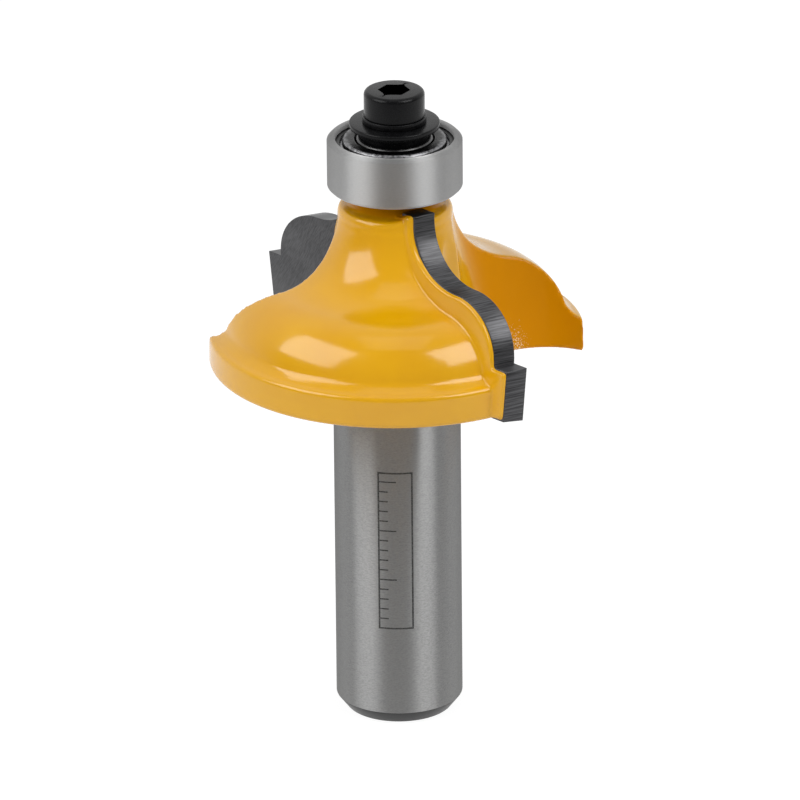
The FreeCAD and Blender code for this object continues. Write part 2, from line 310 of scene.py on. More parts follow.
shankFinish = {"colour": (0.325, 0.325, 0.323), "roughness": 0.46, "contrast": 0.2}
ringFinish = {"colour": (0.5, 0.5, 0.498), "roughness": 0.66, "contrast": 0.06}
grinding = {
    "edgeTint": (0.45, 0.45, 0.45, 1),
    "lineHeight": 0.05,
    "lineStretch": (0.12, 0.12, 1),
    "lineShare": 0.55,
    "grainSize": 0.1,
    "grainStretch": (0.5, 0.5, 1),
    "depth": 0.005,
}


def makeGroundSteel(name, finish, marked):
    # The steel's highlight is drawn out along the axis by the grinding lines round it
    colour, roughness, contrast = finish["colour"], finish["roughness"], finish["contrast"]
    material, tree, shader = newMaterial(name, colour, 1, roughness, Anisotropic=1.0, Anisotropic_Rotation=0.25,
                                         Specular_Tint=grinding["edgeTint"])
    tangent = addNode(tree, "ShaderNodeTangent", direction_type="RADIAL", axis="Z")
    tree.links.new(tangent.outputs[0], shader.inputs["Tangent"])
    across = noise(tree, objectPoint(tree, scale=grinding["lineStretch"]), grinding["lineHeight"], 2, 0.6)
    grain = noise(tree, objectPoint(tree, scale=grinding["grainStretch"]), grinding["grainSize"], 2)
    lines = calc(tree, "ADD", calc(tree, "MULTIPLY", across, grinding["lineShare"]),
                 calc(tree, "MULTIPLY", grain, 1 - grinding["lineShare"]))
    shade = mottled(tree, lines, colour, contrast, contrast, 0.36, 0.64)
    varyRoughness(tree, shader, lines, roughness, 0.05, 0.07, 0.35, 0.65)
    addBump(tree, shader, lines, contrast, grinding["depth"])
    if marked:
        mask = makeMark(tree)
        shade = blendColours(tree, mask, shade, mark["colour"])
        tree.links.new(spread(tree, mask, 0, 1, 1, mark["metallic"]), shader.inputs["Metallic"])
    tree.links.new(shade, shader.inputs["Base Color"])
    return material


mark = {
    "turn": -47.0,           # where the mark faces, in degrees about the axis
    "halfWidth": 1.6,
    "low": 10.1,
    "high": 26.0,
    "line": 0.17,
    "tickLineShare": 0.84,   # a tick's line beside the frame's
    "tickEvery": 1.0,
    "tickLength": 0.9,
    "fifthLonger": 0.8,
    "colour": (0.035, 0.035, 0.035, 1),
    "metallic": 0.35,
    "wornTo": 0.72,
    "wearSize": 0.12,
}


def makeMark(tree):
    # Laser-marked frame with plain depth ticks, laid out on the shank's own angle and height
    x, y, z = splitPoint(tree, objectPoint(tree, turn=(0, 0, -mark["turn"])))
    low, high = mark["low"] * mm, mark["high"] * mm
    halfWidth, line, step = mark["halfWidth"] * mm, mark["line"] * mm, mark["tickEvery"] * mm
    along = calc(tree, "MULTIPLY", calc(tree, "ARCTAN2", y, x), shankRadius * mm)
    side = calc(tree, "ABSOLUTE", along)
    up = calc(tree, "ABSOLUTE", calc(tree, "SUBTRACT", z, (low + high) / 2))
    outside = calc(tree, "MAXIMUM", calc(tree, "SUBTRACT", side, halfWidth),
                   calc(tree, "SUBTRACT", up, (high - low) / 2))
    frameLine = calc(tree, "LESS_THAN", calc(tree, "ABSOLUTE", outside), line / 2)

    # the distance to the nearest tick, with every fifth tick longer
    height = calc(tree, "SUBTRACT", z, low)
    tickLine = calc(tree, "LESS_THAN", calc(tree, "PINGPONG", height, step / 2), line / 2 * mark["tickLineShare"])
    fifth = calc(tree, "LESS_THAN", calc(tree, "PINGPONG", height, step * 2.5), step * 0.3)
    length = calc(tree, "ADD", mark["tickLength"] * mm, calc(tree, "MULTIPLY", fifth, mark["fifthLonger"] * mm))
    reach = calc(tree, "LESS_THAN", calc(tree, "ADD", along, halfWidth), length)
    inside = calc(tree, "LESS_THAN", outside, 0)
    ticks = calc(tree, "MULTIPLY", calc(tree, "MULTIPLY", tickLine, reach), inside)
    facing = calc(tree, "GREATER_THAN", x, 0)
    worn = spread(tree, noise(tree, objectPoint(tree), mark["wearSize"], 2), 0.3, 0.6, mark["wornTo"], 1)
    return calc(tree, "MULTIPLY", calc(tree, "MULTIPLY", calc(tree, "MAXIMUM", frameLine, ticks), facing), worn)


# Carbide: grinding lines run along the axis that the scale makes slow

carbide = {
    "colour": (0.071, 0.071, 0.074),
    "metallic": 0.9,
    "roughness": 0.36,
    "cloudSize": 3.0,
    "cloudShare": 0.2,
    "lineDepth": 0.006,
}
flankLines = {"turn": (0, 0, 16.6), "scale": (1, 0.025, 1), "size": 0.11, "contrast": 0.42}  # square to the edge
faceLines = {"turn": (0, 55.5, 0), "scale": (0.05, 1, 1), "size": 0.09, "contrast": 0.26}


def makeCarbide(name, grind):
    roughness, contrast = carbide["roughness"], grind["contrast"]
    material, tree, shader = newMaterial(name, carbide["colour"], carbide["metallic"], roughness)
    lines = noise(tree, objectPoint(tree, grind["scale"], grind["turn"]), grind["size"], 3, 0.6)
    clouds = noise(tree, objectPoint(tree), carbide["cloudSize"], 2)
    share = calc(tree, "ADD", calc(tree, "MULTIPLY", lines, 1 - carbide["cloudShare"]),
                 calc(tree, "MULTIPLY", clouds, carbide["cloudShare"]))
    shade = mottled(tree, share, carbide["colour"], contrast, 1.4 * contrast, 0.38, 0.62)
    tree.links.new(shade, shader.inputs["Base Color"])
    varyRoughness(tree, shader, lines, roughness, 0.07, 0.07)
    addBump(tree, shader, lines, contrast, carbide["lineDepth"])
    return material


# Satin metals, oxide and cage plastic; grain and depth are in mm

finishes = {
    "innerRingSteel": {"colour": (0.08, 0.08, 0.08), "metallic": 1, "roughness": 0.3,
                       "grain": 0.5, "contrast": 0.3, "depth": 0.002},
    "pressedShieldSteel": {"colour": (0.3, 0.3, 0.31), "metallic": 1, "roughness": 0.3,
                           "grain": 0.3, "contrast": 0.7, "depth": 0.03},
    "snapRingSteel": {"colour": (0.05, 0.05, 0.05), "metallic": 1, "roughness": 0.4,
                      "grain": 0.4, "contrast": 0.4, "depth": 0.004},
    "polishedBallSteel": {"colour": (0.6, 0.6, 0.6), "metallic": 1, "roughness": 0.1,
                          "grain": 0.6, "contrast": 0.05, "depth": 0.0005},
    "cagePlastic": {"colour": (0.16, 0.09, 0.035), "metallic": 0, "roughness": 0.45,
                    "grain": 0.3, "contrast": 0.15, "depth": 0.004},
    "blackOxide": {"colour": (0.004, 0.004, 0.0045), "metallic": 0, "roughness": 0.25,
                   "grain": 0.3, "contrast": 0.35, "depth": 0.005, "gloss": 0.16},
    "darkChamferScale": {"colour": (0.03, 0.03, 0.03), "metallic": 0.6, "roughness": 0.4,
                         "grain": 0.3, "contrast": 0.3, "depth": 0.004},
}
plainGloss = 0.5


def makeSpeckled(name):
    finish = finishes[name]
    material, tree, shader = newMaterial(name, finish["colour"], finish["metallic"], finish["roughness"],
                                         Specular_IOR_Level=finish.get("gloss", plainGloss))
    mottle = noise(tree, objectPoint(tree), finish["grain"], 3, 0.6)
    shade = mottled(tree, mottle, finish["colour"], finish["contrast"], finish["contrast"], 0.3, 0.7)
    tree.links.new(shade, shader.inputs["Base Color"])
    varyRoughness(tree, shader, mottle, finish["roughness"], 0.06, 0.08)
    addBump(tree, shader, mottle, 0.3, finish["depth"])
    return material


grease = {
    "cleanRadius": 5.1,
    "dirtyRadius": 4.3,
    "raggedness": 0.9,
    "patchSize": 0.5,
    "colour": (0.008, 0.008, 0.008, 1),
}


def addGrease(material):
    # Darkens a top face towards the axis, where oil has gathered, with a ragged edge
    tree = material.node_tree
    base = tree.nodes["Principled BSDF"].inputs["Base Color"]
    x, y, _ = splitPoint(tree, objectPoint(tree))
    squares = calc(tree, "ADD", calc(tree, "MULTIPLY", x, x), calc(tree, "MULTIPLY", y, y))
    patches = noise(tree, objectPoint(tree), grease["patchSize"], 3)
    ragged = calc(tree, "ADD", calc(tree, "SQRT", squares),
                  calc(tree, "MULTIPLY", patches, grease["raggedness"] * mm))
    middle = grease["raggedness"] / 2
    clean = spread(tree, ragged, (grease["dirtyRadius"] + middle) * mm, (grease["cleanRadius"] + middle) * mm)
    before = base.links[0].from_socket
    tree.links.new(blendColours(tree, clean, grease["colour"], before), base)


yellowPaint = makePaint()
shankSteel = makeGroundSteel("groundShankSteel", shankFinish, True)
ringSteel = makeGroundSteel("bearingRingSteel", ringFinish, False)
innerSteel = makeSpeckled("innerRingSteel")
shieldSteel = makeSpeckled("pressedShieldSteel")
addGrease(shieldSteel)
clipSteel = makeSpeckled("snapRingSteel")
ballSteel = makeSpeckled("polishedBallSteel")
cagePlastic = makeSpeckled("cagePlastic")
blackOxide = makeSpeckled("blackOxide")
darkScale = makeSpeckled("darkChamferScale")
carbideFlank = makeCarbide("groundCarbideFlank", flankLines)
carbideFace = makeCarbide("groundCarbideFace", faceLines)
print("materials ready")


# Painted steel head, with the soft edges that a thick coat of paint gives

tip = {
    "setback": 1.8,          # how far the rake face lies behind the axis
    "thickness": 2.0,
    "shear": 6.3,
    "rootShare": 0.43,       # radius of its inner side at the underside, as a share of the cutting radius
    "rootTop": 4.1,          # and at its top, in mm
    "reliefInward": 0.6,
    "reliefDown": 0.3,
    "edgeRound": 0.045,
    "flatWithin": 0.6,       # triangles that turn less than this, in degrees, are joined
}

head = {
    "stubDown": 0.55,        # how much of the shank the painted piece takes in
    "belowBearing": 0.002,
    "paintThickness": 0.05,
    "coatBelow": 0.08,       # how far under the head the stub's coat starts
    "voxel": 0.18,
    "smoothSteps": 3,
    "jointGap": 0.025,
    "core": 3.4,             # radius inside which nothing is turned
    "landEnd": 3.8,          # where the ramp behind the land ends, measured back from the rake face
    "landShare": 0.3,        # how much of it the paint leaves to be seen
    "landFade": 25.0,
    "lift": 0.32,            # how far the paint on the crown stands up in front of the bearing
    "liftHeights": (-1.5, -0.5),
    "liftRadii": (4.4, 5.2),
    "liftFade": 0.04,        # in radians behind the land
    "hollowHeights": (-0.95, -0.5),
    "hollowRadii": (5.0, 5.4),
    "heelTurn": (0.15, 0.85),    # how squarely a wall faces back
    "heelAway": (0.3, 2.8),      # and how far it lies past the axis
}

# the crown's rolled edge as (radius, height from the tips' top)
crownEdge = [(3.6, -1.6), (5.42, -2.1), (5.42, -1.4), (5.26, -0.9), (5.0, -0.8), (3.6, -0.8)]


def backPlane(z, depth):
    # How far behind the axis the leaning plane at this depth lies, for a height
    lean = math.radians(tip["shear"])
    return tip["setback"] + depth / math.cos(lean) - (z - shoulder) * math.tan(lean)


def fromTipTop(heights):
    return [tipTop + height for height in heights]


def narrowLand(shape):
    # Pulls the ramp behind each tip close up to the joint, by turning it about the axis
    for vert in shape.verts:
        x, y, z = vert.co
        side = 1 if x > 0 else -1
        x, y = x * side, y * side
        radius = math.hypot(x, y)
        if y > 0 or radius < head["core"]:
            continue
        joint = math.asin(min(0.98, backPlane(z, tip["thickness"]) / radius))
        end = math.asin(min(0.99, backPlane(z, head["landEnd"]) / radius))
        far = end + math.radians(head["landFade"])
        behind = math.asin(min(1, -y / radius))
        near = joint + (end - joint) * head["landShare"]
        if joint < behind < end:
            turned = joint + (behind - joint) * head["landShare"]
        elif end <= behind < far:
            turned = near + (behind - end) * (far - near) / (far - end)
        else:
            turned = behind
        lift = head["lift"] * step01(z, *fromTipTop(head["liftHeights"])) * step01(radius, *head["liftRadii"])
        lift *= 1 - step01(turned, near, near + head["liftFade"]) if turned > joint else 0
        vert.co = (side * radius * math.cos(turned), -side * radius * math.sin(turned), z + lift)


def makePocketTool(side):
    # Block that clears the seat of one tip: sheared to the tip's inner side and leaned to its rake face
    low, high = tip["rootShare"] * cuttingRadius, tip["rootTop"]
    slope = (high - low) / (tipTop - headBottom)
    gap = head["jointGap"]
    inward, down, thickness = tip["reliefInward"], tip["reliefDown"], tip["thickness"]
    reach, tall = 30, 40     # well past the head
    block = Matrix(((reach, -inward * (1 + 2 * gap), slope * tall, reach / 2),
                    (0, -(thickness + 2 * gap), 0, 0),
                    (0, -down * (1 + 2 * gap), tall, 0),
                    (0, 0, 0, 1)))
    rootHere = low + slope * shoulderHeight - gap
    place = Matrix.Translation((rootHere - inward / 2, -thickness / 2, -down / 2))
    lean = Matrix.Rotation(-math.radians(tip["shear"]), 4, "X")
    seat = Matrix.Translation((0, -tip["setback"], shoulder))
    turn = Matrix.Rotation(0 if side > 0 else math.pi, 4, "Z")
    shape = bmesh.new()
    bmesh.ops.create_cube(shape, size=1, matrix=turn @ seat @ lean @ place @ block)
    bmesh.ops.recalc_face_normals(shape, faces=shape.faces)
    return asObject(f"pocketTool{side}", shape)


def markPaintedShade(shape):
    # Painted shade: marks where the paint is coloured deeper orange, on the gullets' heel walls and in the hollow
    # under the bearing, where shade falls
    shape.normal_update()
    shadeLayer = shape.verts.layers.float.new("paintedShade")
    for vert in shape.verts:
        x, y, z = vert.co
        side = 1 if x > 0 else -1
        radius = math.hypot(x, y) + 1e-6
        trailing = (vert.normal.x * y - vert.normal.y * x) / radius
        heel = step01(trailing, *head["heelTurn"]) * step01(y * side, *head["heelAway"])
        hollow = step01(z, *fromTipTop(head["hollowHeights"])) * (1 - step01(radius, *head["hollowRadii"]))
        vert[shadeLayer] = max(heel, hollow)


def finishedShape(owner):
    # Result of an object's modifiers as a bmesh; the object itself is removed
    bpy.context.view_layer.update()
    mesh = bpy.data.meshes.new_from_object(owner.evaluated_get(bpy.context.evaluated_depsgraph_get()))
    bpy.data.objects.remove(owner)
    shape = bmesh.new()
    shape.from_mesh(mesh)
    bpy.data.meshes.remove(mesh)
    return shape


def makeHeadBlank():
    # The head without stud and shank, in mm, with the tips' seats filled and the crown's edge added
    shape = mergedCopy("cutter_body")
    cuts = ((bearingLow[2] - head["belowBearing"], 1), (headBottom - head["stubDown"], -1))
    for height, away in cuts:
        found = bmesh.ops.bisect_plane(shape, geom=shape.verts[:] + shape.edges[:] + shape.faces[:], dist=1e-8,
                                       plane_co=(0, 0, height * mm), plane_no=(0, 0, away), clear_outer=True)
        rim = [item for item in found["geom_cut"] if isinstance(item, bmesh.types.BMEdge)]
        bmesh.ops.triangle_fill(shape, use_beauty=True, use_dissolve=False, edges=rim)
    for number in (1, 2):
        addShape(shape, mergedCopy(f"carbide_tip_{number}"))
    addShape(shape, spinOutline([(radius, tipTop + height) for radius, height in crownEdge], 96))
    bmesh.ops.recalc_face_normals(shape, faces=shape.faces)
    bmesh.ops.scale(shape, vec=(1 / mm, 1 / mm, 1 / mm), verts=shape.verts)
    return asObject("headBlank", shape)


def makePaintedHead():
    blank = makeHeadBlank()
    remesh = blank.modifiers.new("evenSkin", "REMESH")
    remesh.mode = "VOXEL"
    remesh.voxel_size = head["voxel"]
    remesh.adaptivity = 0
    shape = finishedShape(blank)
    narrowLand(shape)
    for _ in range(head["smoothSteps"]):
        bmesh.ops.smooth_vert(shape, verts=shape.verts, factor=0.5,
                              use_axis_x=True, use_axis_y=True, use_axis_z=True)
    bmesh.ops.recalc_face_normals(shape, faces=shape.faces)

    skin = asObject("headSkin", shape)
    tools = [makePocketTool(1), makePocketTool(-1)]
    for tool in tools:
        cut = skin.modifiers.new("tipSeat", "BOOLEAN")
        cut.operation = "DIFFERENCE"
        cut.solver = "EXACT"
        cut.object = tool
    shape = finishedShape(skin)
    for tool in tools:
        bpy.data.objects.remove(tool)
    # painted shade on the gullets' heel walls and under the bearing
    markPaintedShade(shape)
    bmesh.ops.scale(shape, vec=(mm, mm, mm), verts=shape.verts)

    # the coat on the stub stands proud of the bare shank
    swell = 1 + head["paintThickness"] / shankRadius
    stub = [vert for vert in shape.verts if vert.co.z < (headBottom - head["coatBelow"]) * mm]
    bmesh.ops.scale(shape, vec=(swell, swell, 1), verts=stub)
    print("painted head:", len(shape.faces), "faces")
    return makePiece("paintedHead", shape, yellowPaint, "cutter", ["cutter_body"], 40)


makePaintedHead()


# Ground shank and the stud that carries the bearing

shank = {
    "chamferRadial": 1.0,
    "chamferAxial": 1.3,
    "stopsShort": 0.15,
    "edgeRound": 0.08,
}


def makeShank():
    low, top = shankRadius - shank["chamferRadial"], headBottom - shank["stopsShort"]
    shape = spinOutline([(0, 0), (low, 0), (shankRadius, shank["chamferAxial"]), (shankRadius, top), (0, top)],
                        192, closed=False)
    softenEdges(shape, shank["edgeRound"], 2, 30)
    piece = makePiece("groundShank", shape, shankSteel, "cutter", ["cutter_body"])
    piece.data.materials.append(darkScale)
    for face in piece.data.polygons:
        if face.center.z < (shank["chamferAxial"] - shank["edgeRound"] / 4) * mm:
            face.material_index = 1
    return piece


makeShank()

stud = {
    "radius": 2.36,
    "holeRadius": 1.52,
    "sunk": 0.08,
    "edgeRound": 0.08,
}


def makeStud():
    bottom, top = bearingLow[2] - stud["sunk"], boxInMm("cutter_body")[1][2]
    shape = spinOutline([(stud["holeRadius"], bottom), (stud["radius"], bottom),
                         (stud["radius"], top), (stud["holeRadius"], top)], 96)
    softenEdges(shape, stud["edgeRound"])
    return makePiece("bearingStud", shape, innerSteel, "cutter", ["cutter_body"])


makeStud()
print("head, shank and stud ready")


# Carbide tips with their ground edges

def makeTip(number):
    shape = mergedCopy(f"carbide_tip_{number}")
    bmesh.ops.recalc_face_normals(shape, faces=shape.faces)
    bmesh.ops.dissolve_limit(shape, angle_limit=math.radians(tip["flatWithin"]), verts=shape.verts, edges=shape.edges,
                             use_dissolve_boundaries=False, delimit=set())
    softenEdges(shape, tip["edgeRound"], 2, 38)
    piece = makePiece(f"carbideTip{number}", shape, carbideFlank, "cutter",
                      [f"carbide_tip_{number}"], 30)
    piece.data.materials.append(carbideFace)
    for face in piece.data.polygons:
        if abs(face.normal.y) > 0.8:      # the rake face and the back
            face.material_index = 1


for number in (1, 2):
    makeTip(number)
print("carbide tips ready")


# Guide bearing: shares are of the space between its bore and its outside

bearing = {
    "bore": 4.7625,
    "chamfer": 0.3,
    "ballShare": 0.6,
    "grooveShare": 0.52,     # groove radius as a share of the ball's diameter
    "innerShare": 0.307,
    "outerShare": 0.197,
    "ledgeShare": 0.106,
    "play": 0.02,
    "recessDepth": 0.95,
    "clipBite": 0.13,
    "clipShare": 0.139,
    "clipThickness": 0.25,
    "clipGap": 36.0,
    "wallGapShare": 0.065,
    "runningGap": 0.15,
    "shieldSheet": 0.2,
    "shieldBend": 0.18,
    "hemWidth": 0.1,
    "hemDrop": 0.07,
    "crownDepth": 0.1,
    "seatPlay": 0.005,
    "grooveSteps": 14,
    "outerEdge": 0.035,
    "innerEdge": 0.03,
    "shieldEdge": 0.04,
    "clipEdge": 0.05,
}
bearingBottom, bearingTop = bearingLow[2], bearingHigh[2]
bearingMiddle = (bearingBottom + bearingTop) / 2
outerRadius, boreRadius = bearingHigh[0], bearing["bore"] / 2
section = outerRadius - boreRadius
pitchRadius = (outerRadius + boreRadius) / 2
ballRadius = bearing["ballShare"] * section / 2
grooveRadius = bearing["grooveShare"] * 2 * ballRadius
innerLand = boreRadius + bearing["innerShare"] * section
recessRadius = outerRadius - bearing["outerShare"] * section
outerLand = recessRadius - bearing["ledgeShare"] * section
clipOuter = recessRadius + bearing["clipBite"]
clipInner = clipOuter - bearing["clipShare"] * section
shieldCrown = clipInner - bearing["wallGapShare"] * section
shieldHole = innerLand + bearing["runningGap"]
shieldSeat = bearingTop - bearing["recessDepth"]
clipLow = shieldSeat + bearing["shieldSheet"]


def inBearing(corners, mirrored):
    # The outline as drawn for the bearing's top, or turned over for its underside
    if not mirrored:
        return corners
    return [(radius, 2 * bearingMiddle - height) for radius, height in corners]


def makeOuterRing():
    chamfer, lip = bearing["chamfer"], bearing["chamfer"] / 3
    slotRadius = clipOuter + bearing["play"] / 2
    slotTop = clipLow + bearing["clipThickness"] + bearing["play"]
    centre = pitchRadius + ballRadius + bearing["play"] - grooveRadius
    half = math.degrees(math.acos((outerLand - centre) / grooveRadius))
    upper = [
        (outerLand, shieldSeat), (recessRadius, shieldSeat), (recessRadius, clipLow),
        (slotRadius, clipLow), (slotRadius, slotTop), (recessRadius, slotTop),
        (recessRadius, bearingTop - lip), (recessRadius + lip, bearingTop),
        (outerRadius - chamfer, bearingTop), (outerRadius, bearingTop - chamfer),
    ]
    lower = inBearing(upper[::-1], True)
    groove = arcCorners(centre, bearingMiddle, grooveRadius, -half, half, bearing["grooveSteps"])
    shape = spinOutline(groove + upper + lower, 192)
    softenEdges(shape, bearing["outerEdge"], 2, 30)
    return makePiece("outerRing", shape, ringSteel, "outer_race", ["bearing_outer_ring"])


def makeInnerRing():
    lip = bearing["chamfer"] / 2
    centre = pitchRadius - ballRadius - bearing["play"] + grooveRadius
    half = math.degrees(math.acos((centre - innerLand) / grooveRadius))
    groove = arcCorners(centre, bearingMiddle, grooveRadius, 180 - half, 180 + half, bearing["grooveSteps"])
    below = [(innerLand, bearingBottom + lip), (innerLand - lip, bearingBottom),
             (boreRadius + lip, bearingBottom), (boreRadius, bearingBottom + lip)]
    shape = spinOutline(groove + below + inBearing(below[::-1], True), 128)
    softenEdges(shape, bearing["innerEdge"], 2, 30)
    return makePiece("innerRing", shape, innerSteel, "cutter", ["bearing_inner_ring"])


def makeShield(name, node, mirrored):
    sheet, bend, hem = bearing["shieldSheet"], bearing["shieldBend"], bearing["hemDrop"]
    rim, top = recessRadius - bearing["seatPlay"], bearingTop - bearing["crownDepth"]
    corners = [
        (shieldCrown - sheet, shieldSeat), (rim, shieldSeat), (rim, clipLow), (shieldCrown, clipLow),
        (shieldCrown, top - bend), (shieldCrown - bend, top), (shieldHole + bearing["hemWidth"], top),
        (shieldHole, top - hem), (shieldHole, top - sheet), (shieldCrown - sheet, top - sheet),
    ]
    shape = spinOutline(inBearing(corners, mirrored), 160)
    softenEdges(shape, bearing["shieldEdge"], 2, 25)
    return makePiece(name, shape, shieldSteel, "outer_race", [node])


def makeClip(name, node, mirrored):
    high = clipLow + bearing["clipThickness"]
    corners = [(clipInner, clipLow), (clipOuter, clipLow), (clipOuter, high), (clipInner, high)]
    shape = spinOutline(inBearing(corners, mirrored), 144, turn=360 - bearing["clipGap"])
    bmesh.ops.rotate(shape, cent=(0, 0, 0), matrix=Matrix.Rotation(math.radians(bearing["clipGap"]), 3, "Z"),
                     verts=shape.verts)
    softenEdges(shape, bearing["clipEdge"], 2, 40)
    return makePiece(name, shape, clipSteel, "outer_race", [node])


makeOuterRing()
makeInnerRing()
makeShield("topShield", "bearing_shield_top", False)
makeShield("bottomShield", "bearing_shield_bottom", True)
makeClip("topSnapRing", "shield_snap_ring_top", False)
makeClip("bottomSnapRing", "shield_snap_ring_bottom", True)
for number in range(1, 8):
    dressNode(f"bearing_ball_{number}", ballSteel)
dressNode("ball_cage", cagePlastic)
print("bearing ready")


# Washers and screw on top

washerHole = 1.6
washers = {
    "spacerRing": {"node": "spacer_ring", "edgeRound": 0.08},
    "dustShieldWasher": {"node": "dust_shield_washer", "edgeRound": 0.12},
    "lockRing": {"node": "lock_ring", "edgeRound": 0.08},
}


def makeWasher(name, node, edgeRound):
    (_, _, low), (radius, _, high) = boxInMm(node)
    shape = spinOutline([(washerHole, low), (radius, low), (radius, high), (washerHole, high)], 144)
    softenEdges(shape, edgeRound, 3)
    return makePiece(name, shape, blackOxide, "cutter", [node])


for name, settings in washers.items():
    makeWasher(name, **settings)

screw = {
    "threadRadius": 1.5,
    "threadChamfer": 0.2,
    "headRound": 0.42,
    "footRound": 0.1,
    "socketFlats": 2.5,
    "socketDepth": 1.3,
    "mouthChamfer": 0.08,
    "socketTurn": 12.0,
    "steps": 96,
}


def makeScrew():
    (_, _, foot), (headRadius, _, top) = boxInMm("cap_screw")
    seat = boxInMm("lock_ring")[1][2]
    thread, rounding = screw["threadRadius"], screw["headRound"]
    roundCorners = arcCorners(headRadius - rounding, top - rounding, rounding, 0, 90, 6)
    shape = spinOutline([
        (0, foot), (thread - screw["threadChamfer"], foot), (thread, foot + screw["threadChamfer"]), (thread, seat),
        (headRadius - screw["footRound"], seat), (headRadius, seat + screw["footRound"]),
    ] + roundCorners, screw["steps"], closed=False)
    rim = [edge for edge in shape.edges if edge.is_boundary]

    # hexagon socket: its mouth is bridged to the rim, its walls go down to a flat bottom
    corner = screw["socketFlats"] / math.sqrt(3) * mm
    made = bmesh.ops.create_circle(shape, cap_ends=False, segments=6, radius=corner)
    turn = Matrix.Rotation(math.radians(screw["socketTurn"]), 3, "Z")
    bmesh.ops.rotate(shape, cent=(0, 0, 0), matrix=turn, verts=made["verts"])
    bmesh.ops.translate(shape, vec=(0, 0, top * mm), verts=made["verts"])
    sides = list({edge for vert in made["verts"] for edge in vert.link_edges})
    bmesh.ops.subdivide_edges(shape, edges=sides, cuts=screw["steps"] // 6 - 1)
    loop = [edge for edge in shape.edges if edge.is_wire]
    bmesh.ops.bridge_loops(shape, edges=rim + loop)
    chamfer = screw["mouthChamfer"]
    wider = 1 + chamfer / (screw["socketFlats"] / 2)
    bmesh.ops.scale(shape, vec=(wider, wider, 1), verts=list({vert for edge in loop for vert in edge.verts}))
    for shrink, drop in ((1 / wider, chamfer), (1, screw["socketDepth"] - chamfer)):
        made = bmesh.ops.extrude_edge_only(shape, edges=loop)["geom"]
        moved = [item for item in made if isinstance(item, bmesh.types.BMVert)]
        bmesh.ops.scale(shape, vec=(shrink, shrink, 1), verts=moved)
        bmesh.ops.translate(shape, vec=(0, 0, -drop * mm), verts=moved)
        loop = [item for item in made if isinstance(item, bmesh.types.BMEdge)
                and all(vert in moved for vert in item.verts)]
    bmesh.ops.edgeloop_fill(shape, edges=loop)
    bmesh.ops.recalc_face_normals(shape, faces=shape.faces)
    return makePiece("capScrew", shape, blackOxide, "cutter", ["cap_screw"])


makeScrew()
print("washers and screw ready")


# Floor and backdrop

backdrop = {
    "floorRadius": 4.0,      # in metres
    "floorDrop": 0.05,       # in mm, clear of the shank's flat end
    "floorColour": (0.9, 0.9, 0.9, 1),
    "shadowColour": (0.2, 0.2, 0.2, 1),
    "shownGlow": 0.9,
    "sweepReach": 0.35,      # how far the white sweep runs in front of the bit, in metres
    "sweepFade": 0.35,       # how softly the world turns from dim to white
    "roomGlow": 0.05,        # the dim room in front, as polished parts mirror it
    "behind": 225.5,         # where the white sweep stands, as an azimuth
    "fill": 0.24,
}


def fromAngles(azimuth, elevation):
    # Direction away from the bit; azimuth 0 is along -Y and 90 along +X
    turn, rise = math.radians(azimuth), math.radians(elevation)
    return Vector((math.sin(turn) * math.cos(rise), -math.cos(turn) * math.cos(rise), math.sin(rise)))


def towardsSweep(tree, vector):
    # How far a direction or a place lies towards the side where the white sweep stands
    along = addNode(tree, "ShaderNodeVectorMath", operation="DOT_PRODUCT")
    tree.links.new(vector, along.inputs[0])
    along.inputs[1].default_value = fromAngles(backdrop["behind"], 0)
    return along.outputs["Value"]


def shownStrength(tree, mirrored, otherwise):
    # White for camera and transmission rays, the given strength for glossy rays and a plain level for the rest
    rays = addNode(tree, "ShaderNodeLightPath")
    seen = calc(tree, "MAXIMUM", rays.outputs["Is Camera Ray"], rays.outputs["Is Transmission Ray"])
    glossy = calc(tree, "MULTIPLY", rays.outputs["Is Glossy Ray"], mirrored)
    return calc(tree, "MAXIMUM", calc(tree, "MAXIMUM", seen, glossy), otherwise)


def paleFloor():
    # Plain and pale to the light itself; glowing white with a faint shadow to the rays that see it
    material = bpy.data.materials.new("paleFloor")
    material.use_nodes = True
    tree = material.node_tree
    tree.nodes.clear()
    rays = addNode(tree, "ShaderNodeLightPath").outputs
    seen = calc(tree, "MAXIMUM", rays["Is Camera Ray"],
                calc(tree, "MAXIMUM", rays["Is Glossy Ray"], rays["Is Transmission Ray"]))
    sweep = spread(tree, towardsSweep(tree, objectPoint(tree)), -backdrop["sweepReach"],
                   -backdrop["sweepReach"] / 3, backdrop["roomGlow"], 1)
    plain = addNode(tree, "ShaderNodeBsdfDiffuse")
    plain.inputs["Color"].default_value = backdrop["floorColour"]
    faint = addNode(tree, "ShaderNodeBsdfDiffuse")
    faint.inputs["Color"].default_value = backdrop["shadowColour"]
    glow = addNode(tree, "ShaderNodeEmission")
    strength = calc(tree, "MULTIPLY", shownStrength(tree, sweep, 0), backdrop["shownGlow"])
    tree.links.new(strength, glow.inputs["Strength"])
    both = addNode(tree, "ShaderNodeAddShader")
    tree.links.new(faint.outputs[0], both.inputs[0])
    tree.links.new(glow.outputs[0], both.inputs[1])
    mix = addNode(tree, "ShaderNodeMixShader")
    for source, socket in zip((seen, plain.outputs[0], both.outputs[0]), mix.inputs):
        tree.links.new(source, socket)
    output = addNode(tree, "ShaderNodeOutputMaterial")
    tree.links.new(mix.outputs[0], output.inputs[0])
    return material


def makeFloor():
    shape = bmesh.new()
    bmesh.ops.create_circle(shape, cap_ends=True, segments=96, radius=backdrop["floorRadius"])
    bmesh.ops.translate(shape, vec=(0, 0, -backdrop["floorDrop"] * mm), verts=shape.verts)
    floor = asObject("floor", shape)
    floor.data.materials.append(paleFloor())


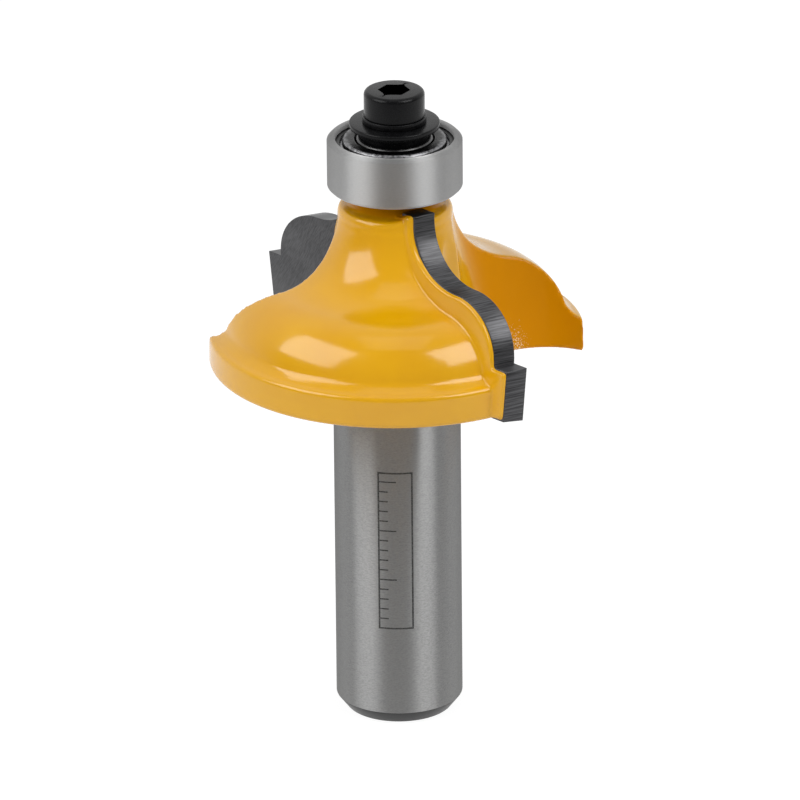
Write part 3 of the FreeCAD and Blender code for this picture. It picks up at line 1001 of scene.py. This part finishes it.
def makeWorld():
    world = bpy.data.worlds.new("whiteStudio")
    world.use_nodes = True
    bpy.context.scene.world = world
    tree = world.node_tree
    sky = tree.nodes["Background"]
    sky.inputs["Color"].default_value = (1, 1, 1, 1)
    way = addNode(tree, "ShaderNodeTexCoord").outputs["Generated"]
    mirrored = spread(tree, towardsSweep(tree, way), -backdrop["sweepFade"], backdrop["sweepFade"],
                      backdrop["roomGlow"], 1)
    tree.links.new(shownStrength(tree, mirrored, backdrop["fill"]), sky.inputs["Strength"])


makeFloor()
makeWorld()


# Soft lights: azimuth and elevation are seen from the middle of the bit, other sizes are in metres

lights = {
    "leftBox": {"azimuth": -20.5, "elevation": 38, "distance": 0.62, "width": 0.46, "height": 0.42, "glow": 3.9},
    "rightBox": {"azimuth": 101.0, "elevation": 42, "distance": 0.62, "width": 0.38, "height": 0.36, "glow": 4.9},
    "topBox": {"azimuth": 45.0, "elevation": 80, "distance": 0.8, "width": 0.4, "height": 0.4, "glow": 0.8},
}
lightTarget = Vector((0, 0, 0.042))


def makeLight(name, settings):
    data = bpy.data.lights.new(name, "AREA")
    data.shape = "RECTANGLE"
    data.size, data.size_y = settings["width"], settings["height"]
    data.energy = settings["glow"] * math.pi * settings["width"] * settings["height"]
    lamp = bpy.data.objects.new(name, data)
    back = fromAngles(settings["azimuth"], settings["elevation"])
    lamp.location = lightTarget + back * settings["distance"]
    lamp.rotation_euler = back.to_track_quat("Z", "Y").to_euler()
    bpy.context.scene.collection.objects.link(lamp)


for name, settings in lights.items():
    makeLight(name, settings)


# Camera, as the photograph was taken: long lens, looking down at the bit

camera = {
    "azimuth": 45.5,
    "elevation": 22.2,
    "distance": 1.0,
    "lens": 479.34,
    "sensor": 36.0,
    "lean": 0.529,           # degrees that the bit leans to the left in the picture
    "aimHeight": 0.04,
    "aimRight": -3.85,       # where that point of the axis falls, in pixels from the middle of 800
    "aimUp": 88.5,
    "pixels": 800,
}


def makeCamera():
    data = bpy.data.cameras.new("photoCamera")
    data.lens = camera["lens"]
    data.sensor_width = camera["sensor"]
    data.clip_start, data.clip_end = 0.05, 20
    view = bpy.data.objects.new("photoCamera", data)
    back = fromAngles(camera["azimuth"], camera["elevation"])
    turn = math.radians(camera["azimuth"])
    right = Vector((math.cos(turn), math.sin(turn), 0))
    up = back.cross(right)
    facing = Matrix((right, up, back)).transposed().to_4x4()
    focal = camera["lens"] / camera["sensor"] * camera["pixels"]
    facing = facing @ Matrix.Rotation(-math.radians(camera["lean"]), 4, "Z")
    facing = facing @ Matrix.Rotation(-math.atan(camera["aimUp"] / focal), 4, "X")
    facing = facing @ Matrix.Rotation(math.atan(camera["aimRight"] / focal), 4, "Y")
    place = Vector((0, 0, camera["aimHeight"])) + back * camera["distance"]
    view.matrix_world = Matrix.Translation(place) @ facing
    bpy.context.scene.collection.objects.link(view)
    bpy.context.scene.camera = view


makeCamera()
bpy.context.scene.view_settings.view_transform = "Standard"
print("floor, lights and camera ready")
